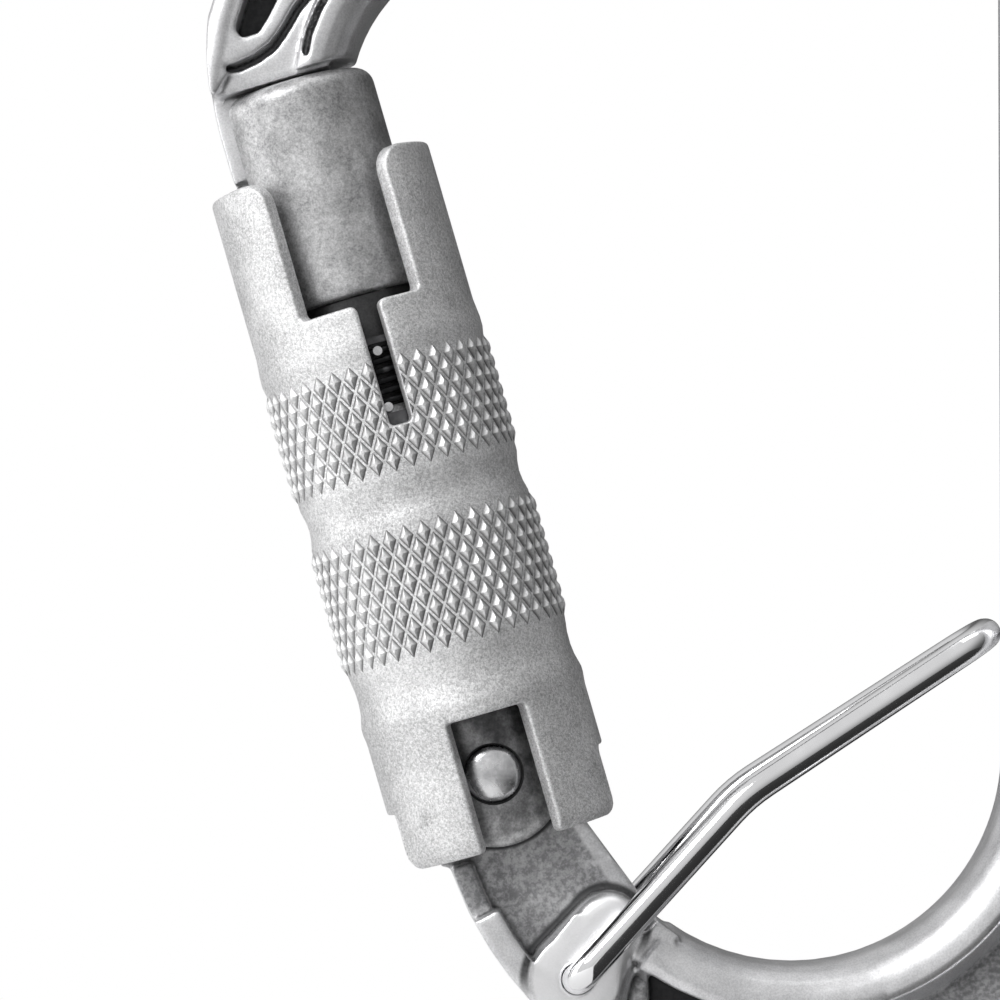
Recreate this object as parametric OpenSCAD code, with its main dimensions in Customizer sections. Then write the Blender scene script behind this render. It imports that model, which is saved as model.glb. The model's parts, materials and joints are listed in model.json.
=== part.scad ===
// Locking carabiner: forged frame, sprung gate, two-action locking sleeve and captive-eye keeper wire.
// The origin is the rope seat, the highest point of the inside of the top basket.
// +Z runs up the spine, +X from gate to spine, +Y away from the viewer. Sizes are in millimetres.

/* [Frame] */
// Distance from the hinge axis to the middle of the spine
spine_x = 46.1; // [44:0.1:56]
// Width of the forged section in the plane of the frame
section_w = 11.8; // [10.8:0.1:12.6]
// Thickness of the forged section over its flanges
section_t = 10.4; // [9.6:0.1:12]
// Thickness of the web between the flanges
web_t = 5.2; // [4.6:0.1:7]
// Width of the flange that the rope bears on
inner_flange = 4.1; // [3.4:0.1:4.6]
// Width of the outer flange
outer_flange = 2.3; // [1.8:0.1:2.8]
// Radius of the rope-bearing edges
rope_edge = 3.3; // [2:0.1:3.4]
// Centre-line radius of the lower basket
lower_r = 22.6; // [20:0.1:24]
// Height of the lower basket's centre above the hinge axis
lower_z = 1.8; // [0:0.1:4]
// Centre-line radius of the bend above the nose
nose_r = 18.6; // [16:0.1:22]
// Centre-line radius of the corner at the top of the spine
corner_r = 17; // [14:0.1:20]
// Direction in which the frame leaves the nose bend, above horizontal
basket_rise = 50; // [40:1:56]
// Direction in which the frame enters the spine corner, below horizontal
basket_fall = 20; // [12:1:30]

/* [Hinge end] */
// Thickness of the tang between the gate's ears
tang_t = 4.3; // [3.6:0.1:4.3]
// Radius of the tang round the hinge axis
tang_r = 5; // [4.6:0.1:5.2]
// Height of the flat on the tang that the plunger rests on
tang_flat = 4.2; // [3.9:0.05:4.3]
// Half width of the shank below the tang
shank_half = 6; // [5.4:0.1:6.2]
// Diameter of the hinge rivet's shank
rivet_d = 3.8; // [3:0.1:4.2]
// Diameter of the rivet's domed heads
rivet_head_d = 4.6; // [4.4:0.1:5.2]

/* [Gate] */
// Lean of the gate's axis away from the spine
gate_lean = 16.2; // [15:0.1:17.5]
// Diameter of the gate barrel
barrel_d = 12.3; // [11.8:0.1:12.4]
// Length of the barrel above the hinge axis
barrel_l = 56.3; // [54:0.1:60]
// Radius of the barrel's lower ears
ear_r = 5.65; // [5.4:0.05:5.8]
// Depth of the slot in the barrel's top that takes the nose
nose_slot = 6.1; // [5:0.1:6.4]
// Thickness of the nose key
nose_t = 4.6; // [3.6:0.1:5]
// Diameter of the bore for the gate spring
bore_d = 7; // [6:0.1:7.4]
// How far the bore runs above the hinge axis
bore_top = 34; // [30:0.5:44]
// Wire diameter of the gate spring
gate_wire = 0.8; // [0.6:0.05:1]
// Turns of the gate spring
gate_turns = 11; // [8:1:14]

/* [Sleeve] */
// Outside diameter of the plain parts of the sleeve
sleeve_d = 17.8; // [17.6:0.1:19]
// Outside diameter over the knurled bands
knurl_d = 18.4; // [18.2:0.1:19.6]
// Diameter at the bottom of the waist between the bands
waist_d = 17.5; // [17.3:0.1:18.4]
// Bore above the collar
sleeve_bore = 14.6; // [14.4:0.1:15]
// Lowest edge of the sleeve, below the hinge axis
sleeve_low = 5.6; // [4.5:0.1:5.7]
// Height of the arms' tops above the hinge axis
sleeve_top = 49.1; // [46:0.1:49.7]
// Height of the floor of the cut-outs between the arms
arm_floor = 37.6; // [37.5:0.1:42]
// Half angle of each cut-out between the arms
arm_gap = 33; // [24:1:36]
// How far the cut-outs lie off the middle of the slots
arm_skew = 3; // [0:1:5]
// Turn of the resting sleeve within its play
sleeve_play = 5; // [3:0.5:6]
// Width of the slot that shows the spring
slot_w = 1.8; // [1.4:0.1:2.4]
// Lower end of that slot above the hinge axis
slot_low = 27.9; // [27:0.1:30]
// Half angle of the windows over the rivet heads
window_half = 21; // [19:1:26]
// Height of the windows above the hinge axis
window_top = 4.7; // [4:0.1:6]
// Travel of the sleeve when it is pulled down
pull_travel = 2; // [1:0.1:2]

/* [Sleeve works] */
// Wire diameter of the sleeve spring
sleeve_wire = 0.55; // [0.45:0.05:0.6]
// Turns of the sleeve spring
sleeve_turns = 6; // [5:1:7]
// Length of the keyed collar
collar_l = 7.9; // [6.5:0.1:8.5]
// Diameter of the two guide pins
pin_d = 1.6; // [1.2:0.1:2]

/* [Keeper wire] */
// Diameter of the wire
wire_d = 2.35; // [2:0.05:2.6]
// Distance of the wire's pivot from the hinge axis, towards the spine
pivot_x = 6.5; // [6:0.1:7]
// Distance of the wire's pivot below the hinge axis
pivot_z = 15.9; // [15.4:0.1:16.6]
// Radius of the boss round the pivot
boss_r = 3.5; // [3:0.1:3.8]
// Distance across the wire's closed end
wire_end_w = 6.6; // [5.6:0.1:8]

/* [Fits] */
// Radial clearance of running fits
running = 0.05; // [0.03:0.01:0.09]
// Gap beside pieces that swing past each other
side_gap = 0.15; // [0.1:0.01:0.2]
// Gap between pieces that rest against each other
seat_gap = 0.1; // [0.05:0.01:0.15]
// Gap round pieces that move past the frame
swing_gap = 0.3; // [0.25:0.05:0.5]

/* [Hidden] */
$fn = 72;

barrel_r = barrel_d / 2;
sleeve_r = sleeve_d / 2;
bore_r = bore_d / 2;
wire_r = wire_d / 2;
rivet_r = rivet_d / 2;
half_t = section_t / 2;

// A point in the gate's own plane, x across and z along its axis, in hinge coordinates
function gate_point(x, z) = [x * cos(gate_lean) - z * sin(gate_lean), x * sin(gate_lean) + z * cos(gate_lean)];
function arc(c, r, from, to, step = 9) =
    let (steps = max(2, ceil(abs(to - from) / step)))
    [for (i = [0:steps]) c + r * [cos(from + (to - from) * i / steps), sin(from + (to - from) * i / steps)]];
function mirrored(points) = [for (i = [len(points) - 1:-1:0]) [points[i].x, -points[i].y]];
function unit(v) = v / norm(v);
function drop_first(list) = [for (i = [1:len(list) - 1]) list[i]];

// Frame section, x outwards across the frame and y through its thickness
function upper_section(inner, outer, rim) = concat(
    arc([inner + rope_edge, half_t - rope_edge], rope_edge, 180, 90, 18),
    [[inner + inner_flange, half_t - 0.4], [inner + inner_flange + 0.7, web_t / 2]],
    [[outer - outer_flange - 0.6, web_t / 2]],
    arc([outer - rim, half_t - rim], rim, 160, 0, 32));
half_section = upper_section(-section_w / 2, section_w / 2, outer_flange / 2);
section = concat(half_section, mirrored(half_section));

// Stations along an arc of the frame: centre-line place and outward direction
function stations(c, r, from, to, step = 6) =
    let (steps = ceil(abs(to - from) / step))
    [for (i = [0:steps]) let (a = from + (to - from) * i / steps) [c + r * [cos(a), sin(a)], a]];
function frame_ring(place, a) = [for (p = section) [place.x + p.x * cos(a), p.y, place.y + p.x * sin(a)]];

// Frame centre line: nose bend, basket, spine corner, spine and lower basket, all tangent
spine_inner = spine_x - section_w / 2;
lower_c = [spine_x - lower_r, lower_z];
nose_from = 171;
nose_c = gate_point(barrel_r + 9.95, barrel_l - 5.9);
basket_from = 90 + basket_rise;
basket_to = 90 - basket_fall;
nose_end = nose_c + nose_r * [cos(basket_from), sin(basket_from)];
basket_r = (spine_x - corner_r * (1 - cos(basket_to)) - nose_end.x) / (cos(basket_to) - cos(basket_from));
basket_c = nose_end - basket_r * [cos(basket_from), sin(basket_from)];
corner_c = basket_c + (basket_r - corner_r) * [cos(basket_to), sin(basket_to)];
lower_from = 234;
frame_line = concat(drop_first(stations(nose_c, nose_r, nose_from, basket_from)),
    drop_first(stations(basket_c, basket_r, basket_from, basket_to)),
    drop_first(stations(corner_c, corner_r, basket_to, 0)),
    stations(lower_c, lower_r, 360, lower_from));
rope_seat = basket_c + [0, basket_r - section_w / 2];

// Gate levels along its axis. The frame's shoulder is flat, and its ring of points is slid down the
// nose's own direction until it lies just outside the arc that the barrel's top swings along.
shoulder_r = norm([barrel_r, barrel_l]) + swing_gap;
gate_axis = [-sin(gate_lean), 0, cos(gate_lean)];
nose_way = [sin(nose_from), 0, -cos(nose_from)];
nose_start = nose_c + nose_r * [cos(nose_from), sin(nose_from)];
shoulder_ring = [for (q = frame_ring(nose_start, nose_from))
    q + nose_way * (shoulder_r - q * gate_axis) / (nose_way * gate_axis)];
slot_floor = barrel_l - nose_slot;
key_end = slot_floor + swing_gap + 0.2;
key_proud = 0.5;
ear_gap = tang_t / 2 + side_gap;
key_gap = nose_t / 2 + swing_gap;
tang_slot_top = tang_r + swing_gap + seat_gap;
head_seat = 4.9;
head_recess = rivet_head_d / 2 + swing_gap;

// Sleeve works, bottom to top
collar_r = sleeve_bore / 2 + 0.15;
wide_bore = collar_r + running;
ring_t = 0.8;
ring_low = 12.05;
collar_low = ring_low + ring_t + side_gap;
collar_top = collar_low + collar_l;
step_z = collar_top + seat_gap;
pin_z = 17;
works_r = sleeve_bore / 2 - seat_gap;
seat_top = 29;
seat_t = 1.5;
lip_low = 35.1;
lip_top = 37.2;
lip_r = barrel_r + swing_gap;
washer_t = 0.5;
washer_top = lip_low - seat_gap;
sleeve_spring_r = (barrel_r + works_r) / 2 + 0.05;

// Keeper wire corners, from the pivot round the closed end
leg_y = half_t + side_gap + wire_r;
boss_half = half_t - 0.4;
pin_end_y = 0.5;
bend_r = leg_y - boss_half - 0.02;
knee = [pivot_x + 13, -pivot_z + 14.3];
closed_end = [spine_inner - swing_gap - wire_r, knee.y + 12.5];

// Solid through rings that have the same count of points and turn anticlockwise about the way along
module loft(rings) {
    count = len(rings[0]);
    last = len(rings) - 1;
    points = [for (ring = rings) each ring];
    sides = [for (i = [0:last - 1]) for (k = [0:count - 1]) let (m = (k + 1) % count)
        [i * count + k, (i + 1) * count + k, (i + 1) * count + m, i * count + m]];
    ends = [[for (k = [0:count - 1]) k], [for (k = [count - 1:-1:0]) last * count + k]];
    polyhedron(points, concat(sides, ends), convexity = 10);
}

module swept(c, r, from, to) {
    translate([c.x, 0, c.y]) rotate([90, 0, 0]) rotate([0, 0, from])
        rotate_extrude(angle = to - from) translate([r, 0]) children();
}

module plate(points, thickness) {
    rotate([90, 0, 0]) linear_extrude(thickness, center = true) polygon(points);
}

module across(r, half, x = 0, z = 0) {
    translate([x, 0, z]) rotate([90, 0, 0]) cylinder(r = r, h = 2 * half, center = true);
}

module from_hinge() {
    translate([-rope_seat.x, 0, -rope_seat.y]) children();
}

module on_gate() {
    from_hinge() rotate([0, -gate_lean, 0]) children();
}

module tube(outer, inner, low, high) {
    translate([0, 0, low]) difference() {
        cylinder(r = outer, h = high - low);
        translate([0, 0, -1]) cylinder(r = inner, h = high - low + 2);
    }
}

module nose() {
    // Key that lies in the barrel's slot
    plate([gate_point(-barrel_r - key_proud, key_end), gate_point(1.5, key_end),
           gate_point(1.5, barrel_l + 4), gate_point(-barrel_r, barrel_l + 6),
           gate_point(-barrel_r - key_proud, barrel_l)], nose_t);
}

module nose_trim() {
    // Eases the outer edge above the barrel into line with the key
    ease_r = 27;
    centre = gate_point(ease_r - barrel_r - key_proud, barrel_l - 2.8);
    plate(concat([gate_point(-4 * barrel_r, barrel_l - 2.8)], arc(centre, ease_r, 180 + gate_lean, 170, 3),
                 [gate_point(-4 * barrel_r, barrel_l + 10)]), 2 * section_t);
}

module hinge_end() {
    outer_r = lower_r + section_w / 2;
    inner_r = lower_r - section_w / 2;
    shank_z = -sleeve_low - 0.3;
    // Tang and shank between the gate's ears
    plate(concat([gate_point(-shank_half, shank_z), gate_point(-tang_r, 0),
                  gate_point(tang_r, 0), gate_point(shank_half, shank_z)],
                 [lower_c + inner_r * [cos(lower_from - 6), sin(lower_from - 6)]],
                 arc(lower_c, lower_r, lower_from + 6, lower_from + 8),
                 arc(lower_c, outer_r - 0.1, lower_from + 4, 199)), tang_t);
    difference() {
        across(tang_r, tang_t / 2);
        rotate([0, -gate_lean, 0]) translate([-10, -10, tang_flat]) cube(20);
    }
    // Outer rim, inner rim and the boss round the wire's pivot
    swept(lower_c, 0, 208, lower_from + 4) translate([outer_r - outer_flange, -half_t + 0.3])
        square([outer_flange - 0.2, section_t - 0.6]);
    swept(lower_c, 0, 230.5, lower_from + 4) translate([inner_r + 0.3, -half_t + 0.8])
        square([inner_flange - 0.6, section_t - 1.6]);
    across(boss_r, boss_half, pivot_x, -pivot_z);
    boss_tip = [pivot_x + 1, -pivot_z + boss_r + 1.6];
    plate([[pivot_x - 0.93 * boss_r, -pivot_z + 1.2], boss_tip + [-1.2, 0], boss_tip + [0.8, 0],
           [pivot_x + 0.95 * boss_r, -pivot_z + 1]], 2 * boss_half);
}

module frame() {
    color("silver") from_hinge() difference() {
        // Resizing by nothing keeps every size and merges the forging into one skin
        resize([0, 0, 0]) difference() {
            union() {
                // The forged section from the shoulder above the barrel to the hinge end
                loft(concat([shoulder_ring], [for (s = frame_line) frame_ring(s[0], s[1])]));
                nose();
                hinge_end();
            }
            nose_trim();
        }
        across(rivet_r + running, section_t);
        across(wire_r + running, section_t, pivot_x, -pivot_z);
    }
}

module gate_barrel() {
    rim = 1.2;
    color("dimgray") on_gate() difference() {
        intersection() {
            rotate_extrude() polygon(concat([[0, -ear_r], [barrel_r, -ear_r]],
                arc([barrel_r - rim, barrel_l - rim], rim, 0, 90), [[0, barrel_l]]));
            union() {
                across(ear_r, barrel_d);
                translate([-barrel_d, -barrel_d, 1]) cube([2 * barrel_d, 2 * barrel_d, barrel_l]);
            }
        }
        // Slot for the tang, and the bore that opens into it
        translate([-barrel_d, -ear_gap, -barrel_d]) cube([2 * barrel_d, 2 * ear_gap, barrel_d + tang_slot_top]);
        translate([0, 0, tang_slot_top - 0.5]) cylinder(r = bore_r, h = bore_top - tang_slot_top + 0.5);
        // Slot for the nose key, open to the outside
        translate([-barrel_d - 0.2, -key_gap, slot_floor])
            cube([barrel_d + 2, 2 * key_gap, nose_slot + 1]);
        across(rivet_r + running / 2, barrel_d);
        for (side = [-1, 1]) {
            translate([0, side * (head_seat + barrel_r), 0]) across(head_recess, barrel_r);
            translate([0, 0, pin_z]) rotate([-90 * side, 0, 0]) translate([0, 0, bore_r + 0.3])
                cylinder(d = pin_d + 0.04, h = barrel_r);
        }
    }
}

module hinge_rivet() {
    dome_r = 3.6;
    dome_h = 1.1;
    color("lightslategray") from_hinge() {
        across(rivet_r, head_seat);
        for (side = [0, 1]) mirror([0, side, 0]) intersection() {
            translate([0, head_seat + dome_h - dome_r, 0]) sphere(r = dome_r);
            translate([0, head_seat + dome_h / 2, 0]) across(rivet_head_d / 2, dome_h / 2);
        }
    }
}

module gate_plunger() {
    foot_low = tang_flat + seat_gap;
    head_low = foot_low + 1.4;
    color("gray") on_gate() {
        translate([0, 0, head_low]) cylinder(r = bore_r - 0.15, h = 2);
        translate([0, 0, head_low + 2]) cylinder(r = 1.1, h = 12);
        intersection() {
            translate([0, 0, foot_low]) cylinder(r = bore_r - 0.15, h = head_low - foot_low);
            translate([-bore_r, -tang_t / 2, 0]) cube([bore_d, tang_t, head_low]);
        }
    }
}

// Helical wire with square-cut ends, drawn from its lowest turn
module coil(mean_r, thick, turns, low, high) {
    sides = 8;
    per_turn = 16;
    rings = turns * per_turn;
    rise = (high - low - thick) / rings;
    loft([for (i = [0:rings]) [for (k = [0:sides - 1])
        let (a = 360 * i / per_turn, b = 360 * k / sides, r = mean_r + thick / 2 * cos(b))
        [r * cos(a), r * sin(a), low + thick / 2 + rise * i - thick / 2 * sin(b)]]]);
}

module gate_spring() {
    low = tang_flat + seat_gap + 3.4 + seat_gap;
    color("darkgray") on_gate() coil(bore_r - 0.5 - gate_wire / 2, gate_wire, gate_turns, low, bore_top - seat_gap);
}

module spring_seat() {
    color("dimgray") on_gate() tube(works_r, barrel_r + 0.03, seat_top - seat_t, seat_top);
}

module guide_pins() {
    pin_in = bore_r + 0.3;
    color("silver") on_gate() for (side = [-1, 1])
        translate([0, 0, pin_z]) rotate([-90 * side, 0, 0]) translate([0, 0, pin_in])
            cylinder(d = pin_d, h = collar_r - 0.25 - pin_in);
}

module slide_collar() {
    key_w = pin_d + 2 * side_gap;
    key_low = pin_z - pin_d / 2 - seat_gap;
    color("darkkhaki") on_gate() difference() {
        tube(collar_r, barrel_r + running, collar_low, collar_top);
        translate([-key_w / 2, -sleeve_r, key_low]) cube([key_w, sleeve_d, collar_l]);
    }
}

module thrust_washer() {
    color("lightgray") on_gate() tube(works_r, lip_r, washer_top - washer_t, washer_top);
}

module sleeve_spring() {
    color("black") on_gate()
        coil(sleeve_spring_r, sleeve_wire, sleeve_turns, seat_top + seat_gap, washer_top - washer_t - seat_gap);
}

// Wedge about the gate axis, centred on an angle and cut from one height to another
module wedge(middle, half, low, high) {
    reach = 2 * sleeve_r;
    translate([0, 0, low]) linear_extrude(high - low) polygon([[0, 0],
        reach * [cos(middle - half), sin(middle - half)], reach * [cos(middle + half), sin(middle + half)]]);
}

module locking_sleeve() {
    bevel = 0.7;
    step = (knurl_d - sleeve_d) / 2;
    knurl_r = knurl_d / 2;
    relief_top = -0.2;
    relief_front = 3.15;
    relief_back = 2.6;
    outline = [[sleeve_r - bevel, -sleeve_low], [sleeve_r, -sleeve_low + bevel], [sleeve_r, 5.5],
        [sleeve_r + step / 2, 5.8], [sleeve_r + step / 2, 10.1], [knurl_r, 10.4], [knurl_r, 20],
        [waist_d / 2, 22], [waist_d / 2, 22.4], [knurl_r, 24.4], [knurl_r, 33.3], [sleeve_r, 33.7],
        [sleeve_r, sleeve_top - bevel], [sleeve_r - bevel, sleeve_top], [sleeve_bore / 2, sleeve_top],
        [sleeve_bore / 2, lip_top], [lip_r, lip_top], [lip_r, lip_low], [sleeve_bore / 2, lip_low],
        [sleeve_bore / 2, step_z], [wide_bore, step_z], [wide_bore, ring_low + ring_t + 0.05],
        [wide_bore + 0.45, ring_low + ring_t + 0.05], [wide_bore + 0.45, ring_low - 0.05],
        [wide_bore, ring_low - 0.05], [wide_bore, -sleeve_low]];
    color("gainsboro") on_gate() rotate([0, 0, sleeve_play]) difference() {
        rotate_extrude() polygon(outline);
        for (side = [-90, 90]) {
            wedge(side - arm_skew, arm_gap, arm_floor, sleeve_top + 1);
            wedge(side, window_half, -sleeve_low - 1, window_top);
            rotate([0, 0, side]) translate([0, -slot_w / 2, slot_low]) cube([sleeve_d, slot_w, sleeve_top - slot_low]);
        }
        for (turn = [0, 180]) rotate([0, 0, turn]) translate([0, -relief_front, -sleeve_low - 1])
            cube([sleeve_d, relief_front + relief_back, sleeve_low + 1 + relief_top]);
    }
}

module collar_ring() {
    mouth = 4;
    color("gray") on_gate() rotate([0, 0, sleeve_play]) difference() {
        tube(wide_bore + 0.4, barrel_r + 0.5, ring_low, ring_low + ring_t);
        translate([0, -mouth / 2, 0]) cube([sleeve_d, mouth, 2 * ring_low]);
    }
}

// Place and direction at each step round the bend at s, between the points p and q
function bend(p, s, q, r, steps) =
    let (u = unit(s - p), v = unit(q - s), angle = acos(u * v))
    let (centre = s + unit(v - u) * r / cos(angle / 2), e = unit(s - u * r * tan(angle / 2) - centre))
    [for (i = [0:steps]) let (a = angle * i / steps) [centre + r * (e * cos(a) + u * sin(a)), u * cos(a) - e * sin(a)]];
function round_ring(place, along, up, r, sides) =
    let (side = unit(cross(along, up)), top = cross(along, side))
    [for (k = [0:sides - 1]) let (a = 360 * k / sides) place + r * (side * cos(a) + top * sin(a))];

module keeper_wire() {
    end_y = wire_end_w / 2;
    rise = unit([-pivot_z - knee.y, 0, knee.x - pivot_x]);
    front = [[pivot_x, -leg_y + bend_r + 0.4, -pivot_z], [pivot_x, -leg_y, -pivot_z], [knee.x, -leg_y, knee.y],
             [closed_end.x, -end_y, closed_end.y]];
    route = concat(front, [for (i = [3:-1:0]) [front[i].x, -front[i].y, front[i].z]]);
    bends = [0, bend_r, 12, end_y - 0.3, end_y - 0.3, 12, bend_r, 0];
    steps = [0, 6, 3, 6, 6, 3, 6, 0];
    line = concat([[route[0], [0, -1, 0]]],
        [for (i = [1:6]) each bend(route[i - 1], route[i], route[i + 1], bends[i], steps[i])],
        [[route[7], [0, -1, 0]]]);
    color("whitesmoke") from_hinge() {
        loft([for (s = line) round_ring(s[0], s[1], rise, wire_r - 0.01, 14)]);
        // The ends that turn in the boss
        for (side = [0, 1]) mirror([0, side, 0]) translate([pivot_x, -pin_end_y, -pivot_z])
            rotate([90, 0, 0]) cylinder(r = wire_r, h = leg_y - bend_r - pin_end_y);
    }
}

frame();
gate_barrel();
hinge_rivet();
gate_plunger();
gate_spring();
spring_seat();
guide_pins();
slide_collar();
thrust_washer();
sleeve_spring();
locking_sleeve();
collar_ring();
keeper_wire();
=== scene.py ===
import bpy
import json
import math
from mathutils import Matrix, Vector


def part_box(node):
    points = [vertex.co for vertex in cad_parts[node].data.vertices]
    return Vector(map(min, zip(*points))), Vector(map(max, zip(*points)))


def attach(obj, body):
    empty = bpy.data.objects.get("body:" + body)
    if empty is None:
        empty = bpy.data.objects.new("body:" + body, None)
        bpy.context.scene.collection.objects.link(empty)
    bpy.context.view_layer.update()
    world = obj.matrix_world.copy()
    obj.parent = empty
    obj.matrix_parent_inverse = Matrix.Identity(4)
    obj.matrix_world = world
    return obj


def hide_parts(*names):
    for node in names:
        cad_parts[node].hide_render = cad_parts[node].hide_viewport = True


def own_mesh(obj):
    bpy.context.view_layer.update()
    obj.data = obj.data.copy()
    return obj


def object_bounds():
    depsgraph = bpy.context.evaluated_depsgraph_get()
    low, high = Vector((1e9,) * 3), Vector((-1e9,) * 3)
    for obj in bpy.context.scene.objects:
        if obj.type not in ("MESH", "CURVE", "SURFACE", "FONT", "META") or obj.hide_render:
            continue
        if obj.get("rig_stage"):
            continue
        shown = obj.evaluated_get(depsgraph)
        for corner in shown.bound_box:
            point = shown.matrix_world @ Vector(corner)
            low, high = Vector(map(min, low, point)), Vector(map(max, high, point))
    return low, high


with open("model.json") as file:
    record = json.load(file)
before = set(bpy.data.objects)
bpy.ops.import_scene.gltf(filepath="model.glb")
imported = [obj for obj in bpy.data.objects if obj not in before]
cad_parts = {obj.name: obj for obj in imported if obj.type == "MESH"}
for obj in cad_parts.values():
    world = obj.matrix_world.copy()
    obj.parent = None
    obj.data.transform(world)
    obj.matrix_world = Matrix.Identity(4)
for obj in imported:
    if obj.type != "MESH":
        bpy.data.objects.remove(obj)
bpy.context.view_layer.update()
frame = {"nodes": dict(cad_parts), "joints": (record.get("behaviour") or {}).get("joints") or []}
mm = 0.001
nodes = frame["nodes"]
joints = {j["name"]: j for j in frame["joints"]}
hinge = Vector(joints["gate_swing"]["pos_m"])
pivot = Vector(joints["keeper_swing"]["pos_m"])
gateAxis = Vector(joints["sleeve_turn"]["axis"]).normalized()
gateLean = math.atan2(-gateAxis.x, gateAxis.z)
onGate = Matrix.Translation(hinge) @ Matrix.Rotation(-gateLean, 4, "Y")  # gate millimetres sit in this frame
print("frame loaded, gate lean", round(math.degrees(gateLean), 2))


# small modelling helpers, with lengths in metres unless a name or note says mm
def clearSelection():
    if bpy.context.object and bpy.context.object.mode != "OBJECT":
        bpy.ops.object.mode_set(mode="OBJECT")
    bpy.ops.object.select_all(action="DESELECT")


def pick(obj):
    clearSelection()
    obj.select_set(True)
    bpy.context.view_layer.objects.active = obj


def penStroke(name, points):
    # one vertex pushed along the points, which leaves an open line
    clearSelection()
    bpy.ops.mesh.primitive_plane_add(size=mm, location=(0, 0, 0))
    obj = bpy.context.object
    obj.name = name
    bpy.ops.object.mode_set(mode="EDIT")
    bpy.ops.mesh.select_mode(type="VERT")
    bpy.ops.mesh.select_all(action="SELECT")
    bpy.ops.mesh.merge(type="CENTER")
    bpy.ops.transform.translate(value=points[0])
    for a, b in zip(points, points[1:]):
        bpy.ops.mesh.extrude_region_move(TRANSFORM_OT_translate={"value": Vector(b) - Vector(a)})
    bpy.ops.object.mode_set(mode="OBJECT")
    return obj


def tidyMesh(obj, weld=1e-6):
    pick(obj)
    bpy.ops.object.mode_set(mode="EDIT")
    bpy.ops.mesh.select_all(action="SELECT")
    bpy.ops.mesh.remove_doubles(threshold=weld)
    bpy.ops.mesh.normals_make_consistent(inside=False)
    bpy.ops.object.mode_set(mode="OBJECT")


def dropFaces(obj, test):
    pick(obj)
    bpy.ops.object.mode_set(mode="EDIT")
    bpy.ops.mesh.select_mode(type="FACE")
    bpy.ops.mesh.select_all(action="DESELECT")
    bpy.ops.object.mode_set(mode="OBJECT")
    for face in obj.data.polygons:
        face.select = test(face)
    bpy.ops.object.mode_set(mode="EDIT")
    bpy.ops.mesh.delete(type="FACE")
    bpy.ops.mesh.select_mode(type="VERT")
    bpy.ops.object.mode_set(mode="OBJECT")


def filledOutline(name, points, depth):
    # closed outline in X and Z, filled and pushed along Y
    obj = penStroke(name, points)
    pick(obj)
    bpy.ops.object.mode_set(mode="EDIT")
    bpy.ops.mesh.select_all(action="SELECT")
    bpy.ops.mesh.edge_face_add()
    bpy.ops.mesh.select_all(action="SELECT")
    bpy.ops.mesh.extrude_region_move(TRANSFORM_OT_translate={"value": (0, depth, 0)})
    bpy.ops.mesh.select_all(action="SELECT")
    bpy.ops.mesh.normals_make_consistent(inside=False)
    bpy.ops.object.mode_set(mode="OBJECT")
    return obj


def lathe(name, outline, turns=96):
    # outline of (radius, height) in mm, spun about Z
    obj = penStroke(name, [(r * mm, 0, z * mm) for r, z in outline])
    pick(obj)
    bpy.ops.object.mode_set(mode="EDIT")
    bpy.ops.mesh.select_all(action="SELECT")
    bpy.ops.mesh.spin(steps=turns, angle=math.tau, center=(0, 0, 0), axis=(0, 0, 1))
    bpy.ops.object.mode_set(mode="OBJECT")
    tidyMesh(obj)
    return obj


def applyAll(obj):
    pick(obj)
    for m in list(obj.modifiers):
        bpy.ops.object.modifier_apply(modifier=m.name)


def cut(obj, *cutters):
    for c in cutters:
        m = obj.modifiers.new("cut", "BOOLEAN")
        m.operation = "DIFFERENCE"
        m.solver = "EXACT"
        m.object = c
        applyAll(obj)
    for c in cutters:
        bpy.data.objects.remove(c)


def add(obj, *others):
    for o in others:
        m = obj.modifiers.new("add", "BOOLEAN")
        m.operation = "UNION"
        m.solver = "EXACT"
        m.object = o
        applyAll(obj)
    for o in others:
        bpy.data.objects.remove(o)


def bevelEdges(obj, width, angle=30, segments=2):
    m = obj.modifiers.new("bevel", "BEVEL")
    m.width = width
    m.segments = segments
    m.limit_method = "ANGLE"
    m.angle_limit = math.radians(angle)
    m.harden_normals = False
    applyAll(obj)


def smooth(obj, angle=35):
    pick(obj)
    bpy.ops.object.shade_smooth_by_angle(angle=math.radians(angle))


def settle(obj, matrix):
    # puts the place into the mesh, so the object itself stays at the origin
    obj.data.transform(matrix @ obj.matrix_world)
    obj.matrix_world = Matrix.Identity(4)
    return obj


def joinInto(obj, *others):
    clearSelection()
    for o in others:
        o.select_set(True)
    obj.select_set(True)
    bpy.context.view_layer.objects.active = obj
    bpy.ops.object.join()
    return obj


def corner(cx, cz, r, start, end, steps=5):
    # points of a round corner, angles in degrees
    return [(cx + r * math.cos(math.radians(start + (end - start) * i / steps)),
             cz + r * math.sin(math.radians(start + (end - start) * i / steps))) for i in range(steps + 1)]


def drill(r, low, high, axis="Z", place=(0, 0, 0)):
    # a round cutter between two levels along an axis, all in mm
    clearSelection()
    turn = {"Z": (0, 0, 0), "Y": (math.pi / 2, 0, 0)}[axis]
    middle = (low + high) / 2
    at = Vector(place) + (Vector((0, 0, middle)) if axis == "Z" else Vector((0, middle, 0)))
    bpy.ops.mesh.primitive_cylinder_add(vertices=72, radius=r * mm, depth=(high - low) * mm,
                                        location=at * mm, rotation=turn)
    return bpy.context.object


def block(low, high):
    # a box between two corners in mm
    clearSelection()
    low, high = Vector(low) * mm, Vector(high) * mm
    bpy.ops.mesh.primitive_cube_add(size=1, location=(low + high) / 2, scale=high - low)
    return bpy.context.object


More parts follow.
